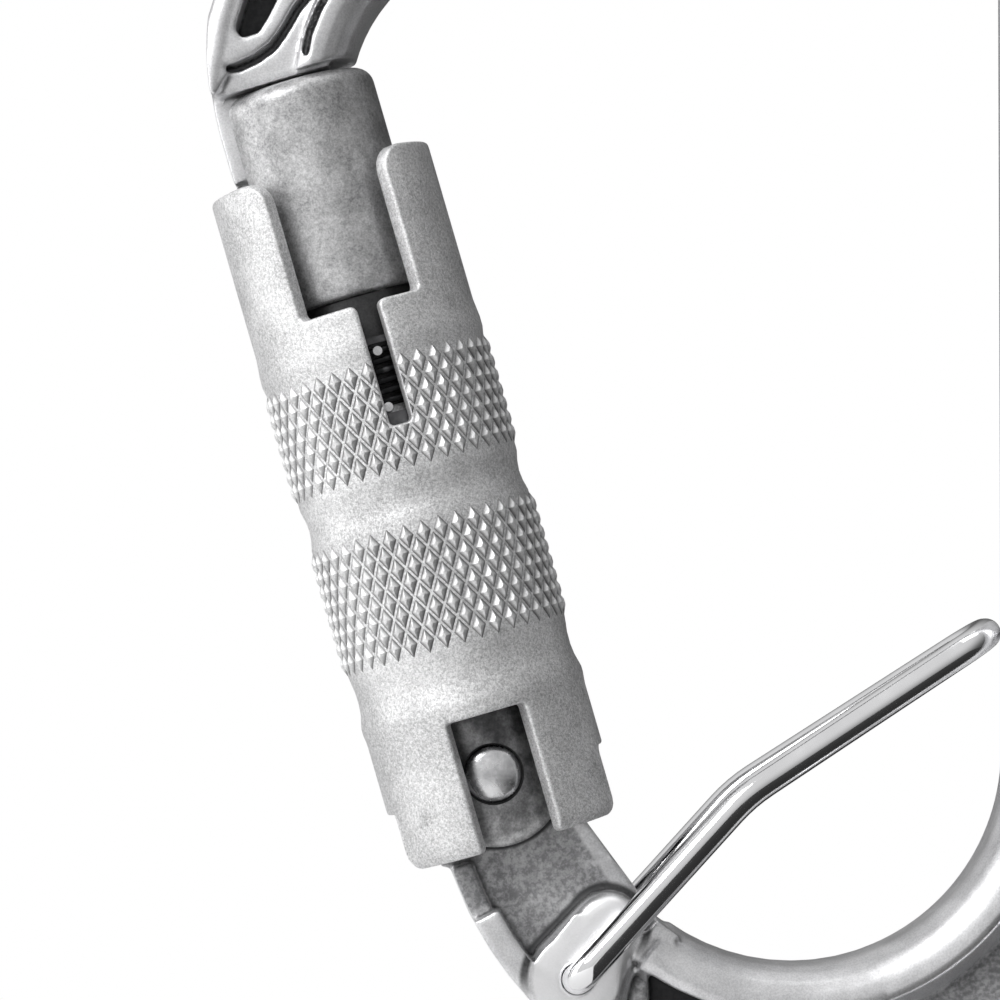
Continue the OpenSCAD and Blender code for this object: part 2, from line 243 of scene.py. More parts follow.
def copyOf(node, name):
    # a CAD node's shape as one welded mesh
    obj = nodes[node].copy()
    obj.data = nodes[node].data.copy()
    obj.name = name
    obj.parent = None
    for key in [k for k in obj.keys() if k.startswith("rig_")]:
        del obj[key]
    bpy.context.scene.collection.objects.link(obj)
    tidyMesh(obj, 2e-6)
    return obj


def blankMaterial(name):
    mat = bpy.data.materials.new(name)
    mat.use_nodes = True
    mat.node_tree.nodes.clear()
    return mat


class Sock:
    # one value socket, with the operators that the finishes use on it
    def __init__(self, shop, socket):
        self.shop = shop
        self.socket = socket

    def math(self, operation, other=None, flip=False):
        values = [other, self] if flip else [self, other]
        return self.shop.node("ShaderNodeMath", {"operation": operation},
                              {i: v for i, v in enumerate(values) if v is not None})

    def __add__(self, other):
        return self.math("ADD", other)

    def __sub__(self, other):
        return self.math("SUBTRACT", other)

    def __rsub__(self, other):
        return self.math("SUBTRACT", other, flip=True)

    def __mul__(self, other):
        return self.math("MULTIPLY", other)

    __radd__ = __add__
    __rmul__ = __mul__

    def atMost(self, other):
        return self.math("MINIMUM", other)

    def atLeast(self, other):
        return self.math("MAXIMUM", other)

    def band(self, low, high):
        # 0 below low, 1 above high, smooth between
        return self.shop.node("ShaderNodeMapRange", {"interpolation_type": "SMOOTHSTEP"},
                              {0: self, 1: low, 2: high, 3: 0.0, 4: 1.0})


class Shop:
    # builds one material's node tree
    def __init__(self, name):
        self.mat = blankMaterial(name)
        self.tree = self.mat.node_tree

    def node(self, kind, settings=None, values=None, out=0):
        n = self.tree.nodes.new(kind)
        for key, value in (settings or {}).items():
            setattr(n, key, value)
        for key, value in (values or {}).items():
            target = n.inputs[key]
            if isinstance(value, Sock):
                self.tree.links.new(value.socket, target)
            else:
                target.default_value = value
        return Sock(self, n.outputs[out])

    def vector(self, operation, values, out=0):
        return self.node("ShaderNodeVectorMath", {"operation": operation}, values, out)

    def place(self):
        return self.node("ShaderNodeTexCoord", out=3)

    def sideways(self):
        return self.node("ShaderNodeSeparateXYZ", {}, {0: self.place()}, out=0)

    def facing(self, axis):
        # how squarely the surface faces along one axis, from 0 to 1
        normal = self.node("ShaderNodeTexCoord", out=1)
        return self.node("ShaderNodeSeparateXYZ", {}, {0: normal}, out=axis).math("ABSOLUTE")

    def fromHinge(self):
        return self.vector("SUBTRACT", {0: self.place(), 1: tuple(hinge)})

    def flatFromHinge(self):
        # place from the hinge, pressed onto the plane of the frame
        return self.vector("MULTIPLY", {0: self.fromHinge(), 1: (1, 0, 1)})

    def alongGate(self):
        # height above the hinge along the gate
        return self.vector("DOT_PRODUCT", {0: self.fromHinge(), 1: tuple(gateAxis)}, out=1)

    def aroundHinge(self):
        # distance from the hinge's axis
        return self.vector("LENGTH", {0: self.flatFromHinge()}, out=1)

    def offGate(self):
        # distance from the gate's axis
        across = self.vector("CROSS_PRODUCT", {0: self.fromHinge(), 1: tuple(gateAxis)})
        return self.vector("LENGTH", {0: across}, out=1)

    def pastHull(self, low, high):
        # distance outside the skin stretched over two circles, each (x, z, radius) in mm from the hinge
        start = Vector((low[0], 0, low[1])) * mm
        span = Vector((high[0], 0, high[1])) * mm - start
        offset = self.vector("SUBTRACT", {0: self.flatFromHinge(), 1: tuple(start)})
        share = self.vector("DOT_PRODUCT", {0: offset, 1: tuple(span / span.length_squared)}, out=1)
        share = share.atLeast(0.0).atMost(1.0)
        foot = self.vector("SCALE", {0: tuple(span), 3: share})
        gap = self.vector("DISTANCE", {0: offset, 1: foot}, out=1)
        return gap - (low[2] * mm + share * ((high[2] - low[2]) * mm))

    def thickness(self):
        # how far a point lies from the middle plane of the object
        return self.node("ShaderNodeSeparateXYZ", {}, {0: self.place()}, out=1).math("ABSOLUTE")

    def edges(self):
        # 0 in creases, 0.5 on flats, 1 on sharp edges
        return self.node("ShaderNodeNewGeometry", out=7)

    def noise(self, scale, detail, rough=0.55):
        return self.node("ShaderNodeTexNoise", {},
                         {"Vector": self.place(), "Scale": scale, "Detail": detail, "Roughness": rough})

    def mix(self, amount, a, b):
        # a and b are each a colour or a colour socket
        a, b = (c if isinstance(c, Sock) else (*c, 1) for c in (a, b))
        return self.node("ShaderNodeMix", {"data_type": "RGBA"}, {0: amount, 6: a, 7: b}, out=2)

    def bump(self, height, distance, strength):
        return self.node("ShaderNodeBump", {}, {"Height": height, "Distance": distance, "Strength": strength})

    def finish(self, **sockets):
        names = {"colour": "Base Color", "rough": "Roughness", "metal": "Metallic", "normal": "Normal"}
        shader = self.node("ShaderNodeBsdfPrincipled", {}, {names[k]: v for k, v in sockets.items()})
        end = self.tree.nodes.new("ShaderNodeOutputMaterial")
        self.tree.links.new(shader.socket, end.inputs["Surface"])
        return self.mat


def blastedFinish():
    # pale bead-blasted aluminium: fine speckle, faint handling marks, brighter worn edges
    s = Shop("blastedAluminium")
    speckle = s.noise(9000, 2.0, 0.7)
    grit = s.noise(4200, 2.0, 0.6)
    cloud = s.noise(170, 4.0, 0.6)
    stain = s.noise(330, 3.0, 0.6).band(0.60, 0.76)
    worn = s.edges().band(0.53, 0.60)
    shade = speckle.band(0.36, 0.64) * 0.42 + grit.band(0.36, 0.64) * 0.32 + cloud.band(0.3, 0.7) * 0.26
    colour = s.mix(shade - stain * 0.3, (0.34, 0.34, 0.345), (0.97, 0.97, 0.975))
    colour = s.mix(worn * 0.5, colour, (0.93, 0.93, 0.93))
    rough = 0.44 + (1 - speckle) * 0.16 - worn * 0.12
    normal = s.bump(speckle * 0.6 + grit * 0.6, 0.00007, 0.6)
    return s.finish(colour=colour, metal=0.75, rough=rough, normal=normal)


def knurlFinish():
    # cut diamonds: bright blasted faces, with painted shade darkening them towards the valleys
    s = Shop("blastedKnurl")
    speckle = s.noise(9000, 2.0, 0.7)
    grit = s.noise(3000, 3.0, 0.6)
    # painted shade: colour darkened near the root radius, down in the valleys between the diamonds
    valley = 1 - s.offGate().band(0.00883, 0.00909)
    amount = speckle.band(0.3, 0.7) * 0.5 + grit.band(0.3, 0.7) * 0.4
    colour = s.mix(amount, (0.52, 0.52, 0.525), (0.97, 0.97, 0.97))
    colour = s.mix(valley * (0.62 + grit * 0.5), colour, (0.05, 0.05, 0.052))
    return s.finish(colour=colour, metal=0.80, rough=0.34 + speckle * 0.16,
                    normal=s.bump(speckle * 0.5 + grit * 0.5, 0.00005, 0.5))


def barrelFinish():
    # stonewashed aluminium: mottled grey, with blotchy painted shade low down where the sleeve covers it
    s = Shop("barrelAluminium")
    blotch = s.noise(300, 4.0, 0.65)
    fine = s.noise(6500, 2.0, 0.7)
    grain = s.noise(2600, 3.0, 0.6)
    up = s.alongGate()
    fromPin = s.aroundHinge()
    ear = 1 - up.band(-0.0005, 0.0010)
    low = 1 - up.band(0.006, 0.0145)
    # painted highlight: a lighter ring round the hinge low on the ear, standing in for its rounded rim
    lip = fromPin.band(0.0047, 0.0051) * (1 - fromPin.band(0.0054, 0.0056)) * ear
    amount = blotch.band(0.32, 0.7) * 0.35 + fine.band(0.32, 0.68) * 0.35 + grain.band(0.3, 0.7) * 0.3
    colour = s.mix(amount, (0.22, 0.22, 0.225), (0.74, 0.74, 0.745))
    # painted shade low down where the sleeve covers the barrel: blotchy, lighter on the ear and on its
    # painted rim highlight
    paintedLowShade = low * (0.92 - ear * 0.25 - blotch.band(0.4, 0.65) * 0.35) * (1 - lip * 0.75)
    colour = s.mix(paintedLowShade, colour, (0.035, 0.035, 0.037))
    # painted shade: the narrow neck inside the sleeve, seen through the slot, painted near-black
    neck = (1 - s.offGate().band(0.0054, 0.0057)) * (1 - up.band(0.0388, 0.0394))
    colour = s.mix(neck * 0.92, colour, (0.03, 0.03, 0.031))
    colour = s.mix(s.edges().band(0.53, 0.6) * (1 - low) * 0.45, colour, (0.80, 0.80, 0.81))
    return s.finish(colour=colour, metal=0.85, rough=0.33 + blotch * 0.18,
                    normal=s.bump(fine * 0.6 + grain * 0.4, 0.00005, 0.5))


def wireFinish():
    # mirror-polished stainless wire, faintly clouded
    s = Shop("polishedWire")
    cloud = s.noise(420, 3.0, 0.5)
    fine = s.noise(2400, 2.0, 0.5)
    colour = s.mix(cloud, (0.80, 0.80, 0.81), (0.93, 0.93, 0.94))
    return s.finish(colour=colour, metal=1.0, rough=0.07 + cloud.band(0.45, 0.8) * 0.07 + fine * 0.03)


def steelFinish(name, dark, light, rough):
    # turned or headed steel: faint blotches and fine scratches
    s = Shop(name)
    cloud = s.noise(600, 3.0, 0.6)
    fine = s.noise(3000, 2.0, 0.6)
    colour = s.mix(cloud.band(0.3, 0.7) * 0.7 + fine * 0.3, dark, light)
    return s.finish(colour=colour, metal=1.0, rough=rough + cloud * 0.14,
                    normal=s.bump(fine, 0.00003, 0.35))


def springFinish():
    # black oxide with rubbed tops
    s = Shop("blackSpring")
    rub = s.noise(900, 2.0, 0.6)
    colour = s.mix(rub.band(0.52, 0.75) * 0.5, (0.014, 0.014, 0.015), (0.16, 0.16, 0.165))
    return s.finish(colour=colour, metal=0.85, rough=0.32 + rub * 0.18, normal=s.bump(rub, 0.00002, 0.3))


finish = {
    "blasted": blastedFinish(),
    "knurl": knurlFinish(),
    "barrel": barrelFinish(),
    "wire": wireFinish(),
    "rivet": steelFinish("rivetSteel", (0.46, 0.46, 0.47), (0.86, 0.86, 0.87), 0.20),
    "inner": steelFinish("innerSteel", (0.30, 0.30, 0.31), (0.56, 0.56, 0.57), 0.30),
    "brass": steelFinish("bushBrass", (0.42, 0.32, 0.16), (0.70, 0.56, 0.30), 0.30),
    "spring": springFinish(),
    "dark": steelFinish("blackenedSteel", (0.05, 0.05, 0.052), (0.17, 0.17, 0.175), 0.30),
}


def dress(obj, which):
    obj.data.materials.clear()
    obj.data.materials.append(finish[which])
    return obj


print("finishes made")


# centres are mm from the hinge, cuts are degrees
forging = {
    "width": 11.8, "thick": 10.4, "web": 5.2, "inner": 4.1, "outer": 2.3, "ropeEdge": 3.3, "rim": 1.15,
    "noseC": (1.3996, 52.8906), "noseR": 18.6, "noseCut": 138,
    "basketC": (20.1715, 37.1390), "basketFrom": 140, "basketTo": 70, "cornerC": (29.1, 61.6697),
    "lowerC": (23.5, 1.8), "lowerCut": 292, "arcStep": 2.5, "spineSteps": 12,
    "bossLow": (6.5, -15.9, 3.75), "bossHigh": (8.9, -11.9, 2.7),
    "rimLow": (6.7, -3.2, 0.8), "rimHigh": (11.3, -9.9, 1.0),
    "voxel": 0.24, "noseRounds": 6, "hingeRounds": 9,
}


def forgedFinish():
    # bright tumbled forging: satin raised faces; painted shade greys the recessed web and paints the pockets,
    # the creases and the lines round the boss and the ear near-black
    s = Shop("forgedAluminium")
    ding = s.noise(700, 3.0, 0.6)
    fine = s.noise(6500, 2.0, 0.7)
    cloud = s.noise(240, 4.0, 0.6)
    deep = s.thickness()
    flat = s.facing(1).band(0.45, 0.8)
    up = s.alongGate()
    key = (1 - s.sideways().band(-0.020, -0.015)) * up.band(0.0484, 0.0492) * (1 - up.band(0.0565, 0.0571))
    paintedShadeFlats = flat * (1 - key)
    innerRim = 1 - s.pastHull(forging["rimLow"], forging["rimHigh"]).band(-0.0001, 0.0003)
    # painted shade: the recessed web greyed, less on the inner rim; the web is also rougher
    web = (1 - deep.band(0.0026, 0.0040)) * paintedShadeFlats * (1 - innerRim * 0.8)
    # painted shade: the deepest recesses painted near-black
    pocket = (1 - deep.band(0.0016, 0.0021)) * paintedShadeFlats
    grain = s.noise(2600, 3.0, 0.6)
    # painted shade: concave creases painted dark
    paintedCreaseShade = 1 - s.edges().band(0.44, 0.495)
    boss = s.pastHull(forging["bossLow"], forging["bossHigh"])
    fromPin = s.aroundHinge()
    # painted shade: a dark line round the hinge where the ear meets the tang
    paintedEarShadeLine = fromPin.band(0.0055, 0.0057) * (1 - fromPin.band(0.0059, 0.0062)) * (1 - up.band(-0.001, 0.001))
    # painted shade: a dark line round the foot of the boss
    outline = boss.band(-0.0001, 0.0002) * (1 - boss.band(0.0005, 0.0009)) * up.band(-0.018, -0.015)
    deck = 1 - boss.band(-0.0005, -0.0001)
    amount = cloud.band(0.3, 0.7) * 0.45 + fine.band(0.3, 0.7) * 0.4
    colour = s.mix(amount, (0.52, 0.52, 0.53), (0.90, 0.90, 0.91))
    colour = s.mix(web * (0.88 - grain.band(0.35, 0.65) * 0.35 - cloud.band(0.35, 0.65) * 0.2), colour,
                   (0.13, 0.13, 0.135))
    colour = s.mix(deck * 0.8, colour, (0.93, 0.93, 0.94))
    colour = s.mix((outline + paintedEarShadeLine).atMost(1.0) * flat * (0.75 + grain * 0.3), colour, (0.03, 0.03, 0.031))
    colour = s.mix(paintedCreaseShade * 0.85, colour, (0.06, 0.06, 0.062))
    colour = s.mix(pocket * 0.95, colour, (0.02, 0.02, 0.021))
    return s.finish(colour=colour, metal=0.85, rough=0.30 + ding * 0.14 + web * 0.15,
                    normal=s.bump(ding * 0.6 + fine * 0.4, 0.00005, 0.5))


finish["forged"] = forgedFinish()


def hingePoint(x, z):
    return hinge + Vector((x, 0, z)) * mm


def sectionLine():
    p = forging
    w, t = p["width"] / 2, p["thick"] / 2
    half = corner(-w + p["ropeEdge"], t - p["ropeEdge"], p["ropeEdge"], 180, 90, 9)
    half += corner(-w + p["inner"] - 0.7, t - 0.7, 0.7, 90, 12, 4)
    half += corner(-w + p["inner"] + 1.6, p["web"] / 2 + 0.9, 0.9, 190, 270, 4)
    half += corner(w - p["outer"] - 1.3, p["web"] / 2 + 0.9, 0.9, 270, 350, 4)
    half += corner(w - p["rim"], t - p["rim"], p["rim"], 170, 0, 8)
    return half + [(x, -y) for x, y in reversed(half)]


def makeRing():
    # the forged section spun and pushed round the whole bow, as one closed face carried along
    p = forging
    start = math.radians(p["noseCut"])
    out = Vector((math.cos(start), 0, math.sin(start)))
    centre = hingePoint(*p["noseC"])
    section = [centre + (out * (p["noseR"] + x) + Vector((0, y, 0))) * mm for x, y in sectionLine()]
    obj = penStroke("ring", section)
    pick(obj)
    bpy.ops.object.mode_set(mode="EDIT")
    bpy.ops.mesh.select_all(action="SELECT")
    bpy.ops.mesh.edge_face_add()
    bpy.ops.mesh.select_mode(type="FACE")
    bpy.ops.mesh.select_all(action="SELECT")

    def sweep(place, degrees):
        bpy.ops.mesh.spin(steps=max(4, round(degrees / p["arcStep"])), angle=-math.radians(degrees),
                          center=hingePoint(*place), axis=(0, 1, 0))

    sweep(p["basketC"], p["basketFrom"] - p["basketTo"])
    sweep(p["cornerC"], p["basketTo"])
    drop = (p["lowerC"][1] - p["cornerC"][1]) * mm / p["spineSteps"]
    for _ in range(p["spineSteps"]):
        bpy.ops.mesh.extrude_region_move(TRANSFORM_OT_translate={"value": (0, 0, drop)})
    sweep(p["lowerC"], 360 - p["lowerCut"])
    bpy.ops.mesh.select_mode(type="VERT")
    bpy.ops.object.mode_set(mode="OBJECT")
    tidyMesh(obj, 1e-7)
    return obj


def region(points):
    # a block that reaches right through the frame, to keep one end of it
    return filledOutline("region", [hingePoint(x, z) - Vector((0, 10, 0)) * mm for x, z in points], 20 * mm)


def keepInside(obj, cutter):
    m = obj.modifiers.new("keep", "BOOLEAN")
    m.operation = "INTERSECT"
    m.solver = "EXACT"
    m.object = cutter
    applyAll(obj)
    bpy.data.objects.remove(cutter)


def slab(points, low, high):
    # a flat shape in the plane of the frame between two levels of Y, then its mirror image
    sides = []
    for y in (low, -high):
        outline = [hingePoint(x, z) + Vector((0, y, 0)) * mm for x, z in points]
        sides.append(filledOutline("slab", outline, (high - low) * mm))
    return joinInto(*sides)


def trench(points, width, low, high):
    # a groove of one width along a line
    left, right = [], []
    line = [Vector((x, z)) for x, z in points]
    for i, q in enumerate(line):
        way = (line[min(i + 1, len(line) - 1)] - line[max(i - 1, 0)]).normalized()
        side = Vector((-way.y, way.x)) * width / 2
        left.append(tuple(q + side))
        right.append(tuple(q - side))
    return slab(left + right[::-1], low, high)


def soften(obj, voxel, rounds):
    obj.data.remesh_voxel_size = voxel * mm
    pick(obj)
    bpy.ops.object.voxel_remesh()
    m = obj.modifiers.new("soften", "SMOOTH")
    m.factor = 0.5
    m.iterations = rounds
    applyAll(obj)


def gatePoint(x, z):
    # a point given along the gate, as x and z from the hinge
    return (x * math.cos(gateLean) - z * math.sin(gateLean), x * math.sin(gateLean) + z * math.cos(gateLean))


def makeNose():
    p = forging
    cx, cz = p["noseC"]
    way = (math.cos(math.radians(p["noseCut"])), math.sin(math.radians(p["noseCut"])))
    obj = copyOf("frame", "noseEnd")
    keepInside(obj, region([(cx + 6 * way[0], cz + 6 * way[1]), (cx + 32 * way[0], cz + 32 * way[1]),
                            (-34, 66), (-34, 44), (-8, 44), (-4, 52)]))
    foot = [gatePoint(-6.1, 56.58), gatePoint(3.3, 56.58)]
    fill = corner(cx, cz, p["noseR"] + 4.4, 147, 168, 8) + foot
    fill += corner(cx, cz, p["noseR"] - 2.2, 170, 147, 8)
    groove = [(-20.9, 54.9), (-19.9, 55.0), (-18.4, 55.7), (-17.2, 56.6), (-16.4, 57.7), (-15.3, 59.6),
              (-14.3, 60.9), (-12.2, 63.6), (-9.2, 66.4)]
    rib = [(x - 0.25, z + 0.35) for x, z in groove[1:]] + corner(cx, cz, p["noseR"] + 5.1, 128, 166, 10)
    rib += [gatePoint(-6.2, 56.62)]
    key = [gatePoint(-6.62, 49.85), gatePoint(-3, 49.85), gatePoint(-3, 55), gatePoint(-6.62, 54)]
    add(obj, slab(fill, 1.5, 4.35))
    add(obj, slab(rib, 1.6, 4.95))
    add(obj, slab(key, 0.4, 2.28))
    pocket = [(-20.15, 58.0), (-19.6, 57.3), (-18.3, 57.7), (-17.5, 59.0), (-16.3, 61.4), (-14.4, 64.2),
              (-12.6, 66.2), (-13.6, 67.4), (-16.8, 65.2), (-19.0, 61.8)]
    ridge = [(-14.7, 55.9), (-14.4, 57.6), (-13.6, 59.6), (-12.6, 61.3), (-11.0, 63.4)]
    cut(obj, slab(pocket, 1.3, 8), trench(groove, 0.6, 2.9, 8), trench(ridge, 0.6, 3.95, 8))
    soften(obj, p["voxel"], p["noseRounds"])
    return obj


def hullOf(x0, z0, r0, x1, z1, r1):
    # outline of two circles with a skin stretched over both
    length = math.hypot(x1 - x0, z1 - z0)
    way = math.degrees(math.atan2(z1 - z0, x1 - x0))
    spread = math.degrees(math.acos((r0 - r1) / length))
    return (corner(x0, z0, r0, way + spread, way + 360 - spread, 20)
            + corner(x1, z1, r1, way - spread, way + spread, 12))


def makeHingeEnd():
    p = forging
    cx, cz = p["lowerC"]
    way = (math.cos(math.radians(p["lowerCut"])), math.sin(math.radians(p["lowerCut"])))
    obj = copyOf("frame", "hingeEnd")
    keepInside(obj, region([(cx + 9 * way[0], cz + 9 * way[1]), (cx + 34 * way[0], cz + 34 * way[1]),
                            (-16, -40), (-26, 8), (9, 8), (14, -4)]))
    boss = slab(hullOf(*p["bossLow"], *p["bossHigh"]), 1.0, 4.85)
    bevelEdges(boss, 1.1 * mm, 50, 3)
    add(obj, boss)
    outerRim = corner(cx, cz, 28.3, 199, 210, 4) + corner(cx, cz, 26.6, 210, 199, 4)
    innerRim = [(9.27, -6.6), (11.0, -8.95), (12.5, -10.9), (11.0, -11.9), (9.4, -9.8), (7.35, -6.8)]
    # lower where the sleeve passes as the gate opens
    rimUnderSleeve = [(6.9, -2.9), (7.5, -4.2), (9.27, -6.6), (9.4, -6.9), (7.45, -7.0), (5.6, -4.2)]
    flange = corner(cx, cz, 20.3, 230, 243, 6) + corner(cx, cz, 18.6, 243, 230, 6)
    flangeSide = corner(cx, cz, 20.3, 230, 243, 6) + corner(cx, cz, 16.95, 243, 230, 6)
    add(obj, slab(outerRim, 1.0, 2.75))
    add(obj, slab(innerRim, 1.0, 2.45))
    add(obj, slab(rimUnderSleeve, 1.0, 2.2))
    add(obj, slab(flange, 1.0, 4.6))
    add(obj, slab(flangeSide, 0.9, 3.0))
    spur = trench([(11.6, -12.6), (10.9, -14.4), (10.2, -16.6), (9.6, -19.2), (9.9, -21.5)], 0.8, 1.0, 3.9)
    add(obj, spur)
    well = corner(cx, cz, 20.7, 236.5, 264, 8) + corner(cx, cz, 25.7, 264, 244, 6)
    cut(obj, slab(well, 1.2, 8))
    wireHole = drill(1.225, -9, 9, "Y", (pivot - hinge) / mm)
    rivetHole = drill(1.95, -9, 9, "Y")
    for hole in (wireHole, rivetHole):
        settle(hole, Matrix.Translation(hinge))
    cut(obj, wireHole, rivetHole)
    soften(obj, p["voxel"], p["hingeRounds"])
    return obj


def makeFrame():
    obj = makeRing()
    joinInto(obj, makeNose(), makeHingeEnd())
    smooth(obj, 40)
    settle(obj, Matrix.Identity(4))
    obj.name = "bow"
    dress(obj, "forged")
    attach(obj, "frame_body")
    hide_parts("frame")


makeFrame()
print("frame made")


sleeve = {
    "plain": 8.9, "bore": 7.4, "low": -5.6, "top": 49.1,  # radii, levels and widths in mm, angles in degrees
    "floor": 37.6, "armLeft": 36, "armRight": 30, "armRound": 2.0, "floorRound": 0.55,
    "slotHalf": 0.9, "slotLow": 27.9, "slotRound": 0.55,
    "windowHalf": 21, "windowTop": 4.7, "windowRound": 0.3, "mouthRound": 0.5,
    "reliefTop": {-270: -0.2, -90: -1.0}, "reliefFront": 22.5, "reliefBack": 18.5, "reliefRound": 0.7,
    "seam": 50, "play": 5, "edge": 0.25, "turnStep": 2.5,
    "lipR": 6.35, "lipLow": 35.1, "lipHigh": 37.2, "lipSlot": 1.8,
    "bands": [(10.15, 8), (24.2, 7)],  # lowest point and count of rows of each knurled band
    "starts": 40, "diamond": 2.32, "root": 8.8, "tip": 9.17, "flat": 0.24, "valley": 0.97,
}
# height and outer radius, mm
sleeveLevels = [(-5.6, 8.35), (-5.3, 8.62), (-4.9, 8.82), (-4.4, 8.9), (4.6, 8.9), (5.1, 8.94), (5.6, 9.0),
                (6.1, 9.0), (7.2, 8.74), (8.0, 8.66), (9.0, 8.68), (9.7, 8.78), (10.4, 8.86), (19.7, 8.86),
                (20.6, 8.87), (21.4, 8.68), (22.2, 8.6), (23.0, 8.68), (23.8, 8.87), (24.4, 8.88),
                (25.0, 8.86), (32.8, 8.86), (33.4, 8.9), (34.0, 9.02), (34.8, 9.02), (36.2, 8.88),
                (37.0, 8.88), (48.6, 8.88), (49.1, 8.84)]


def outerRadius(z):
    levels = sleeveLevels
    if z <= levels[0][0]:
        return levels[0][1]
    for (z0, r0), (z1, r1) in zip(levels, levels[1:]):
        if z <= z1:
            return r0 + (r1 - r0) * (z - z0) / (z1 - z0)
    return levels[-1][1]


def sleeveOutline():
    # the sleeve cut open at its seam and laid flat: across in mm at the plain radius, up in mm
    p = sleeve

    def across(degrees):
        return math.radians(degrees) * p["plain"]

    line = [(across(p["seam"] - 360), p["top"])]
    for middle in (-180, 0):
        left = across(middle - p["armLeft"])
        right = across(middle + p["armRight"])
        centre = across(middle)
        slot, floor = p["slotHalf"], p["floor"]
        ar, fr, sr = p["armRound"], p["floorRound"], p["slotRound"]
        line += corner(left - ar, p["top"] - ar, ar, 90, 0, 6)
        line += corner(left + fr, floor + fr, fr, 180, 270)
        line += corner(centre - slot - sr, floor - sr, sr, 90, 0, 4)
        line += corner(centre - slot + 0.4, p["slotLow"] + 0.4, 0.4, 180, 270, 3)
        line += corner(centre + slot - 0.4, p["slotLow"] + 0.4, 0.4, 270, 360, 3)
        line += corner(centre + slot + sr, floor - sr, sr, 180, 90, 4)
        line += corner(right - fr, floor + fr, fr, 270, 360)
        line += corner(right + ar, p["top"] - ar, ar, 180, 90, 6)
    line += [(across(p["seam"]), p["top"]), (across(p["seam"]), p["low"])]
    mr = p["mouthRound"]
    for middle in (0, -90, -180, -270):
        window = middle in (0, -180)
        right = across(middle + (p["windowHalf"] if window else p["reliefBack"]))
        left = across(middle - (p["windowHalf"] if window else p["reliefFront"]))
        top = p["windowTop"] if window else p["reliefTop"][middle]
        r = p["windowRound"] if window else p["reliefRound"]
        line += corner(right + mr, p["low"] + mr, mr, 270, 180, 3)
        line += corner(right - r, top - r, r, 0, 90, 4)
        line += corner(left + r, top - r, r, 90, 180, 4)
        line += corner(left - mr, p["low"] + mr, mr, 0, -90, 3)
    line += [(across(p["seam"] - 360), p["low"])]
    return line


def wrapSleeve(obj, wall):
    # rolls the flat sheet round the gate's axis and gives the outside its turned profile
    for v in obj.data.vertices:
        angle = v.co.x / (sleeve["plain"] * mm)
        depth = min(max(v.co.y / (wall * mm), 0), 1)
        z = v.co.z / mm
        r = outerRadius(z) * (1 - depth) + sleeve["bore"] * depth
        v.co = Vector((math.sin(angle) * r * mm, -math.cos(angle) * r * mm, v.co.z))


def knurlBand(low, rows):
    # one blunt pyramid copied over a flat sheet in two offset sets, then rolled round the sleeve
    p = sleeve
    pitch = math.tau * p["plain"] * mm / p["starts"]
    step = p["diamond"] * mm
    sheets = []
    for odd in (0, 1):
        clearSelection()
        bpy.ops.mesh.primitive_cone_add(vertices=4, radius1=0.5, radius2=0.5 * p["flat"], depth=1,
                                        end_fill_type="NGON")
        tooth = bpy.context.object
        pick(tooth)
        bpy.ops.object.mode_set(mode="EDIT")
        bpy.ops.mesh.select_all(action="SELECT")
        bpy.ops.transform.resize(value=(pitch * p["valley"], step * p["valley"], (p["tip"] - p["root"]) * mm))
        bpy.ops.transform.translate(value=(pitch * 0.5 * odd, step * (0.5 + 0.5 * odd), 0))
        bpy.ops.object.mode_set(mode="OBJECT")
        for axis, count in ((0, p["starts"]), (1, (rows + 1 - odd) // 2)):
            m = tooth.modifiers.new("row", "ARRAY")
            m.count = count
            m.use_relative_offset = False
            m.use_constant_offset = True
            m.constant_offset_displace = (pitch, 0, 0) if axis == 0 else (0, step, 0)
        applyAll(tooth)
        sheets.append(tooth)
    obj = joinInto(*sheets)
    bevelEdges(obj, 0.03 * mm, 20, 1)
    half = (p["tip"] - p["root"]) / 2
    for v in obj.data.vertices:
        angle = v.co.x / (p["plain"] * mm)
        r = p["root"] + half + v.co.z / mm
        v.co = Vector((math.sin(angle) * r * mm, -math.cos(angle) * r * mm, low * mm + v.co.y))
    if low + rows * p["diamond"] / 2 > p["slotLow"]:
        wide = p["slotHalf"] + 0.12
        cut(obj, block((-wide, -20, p["slotLow"] - 0.15), (wide, 20, 60)))
    return obj


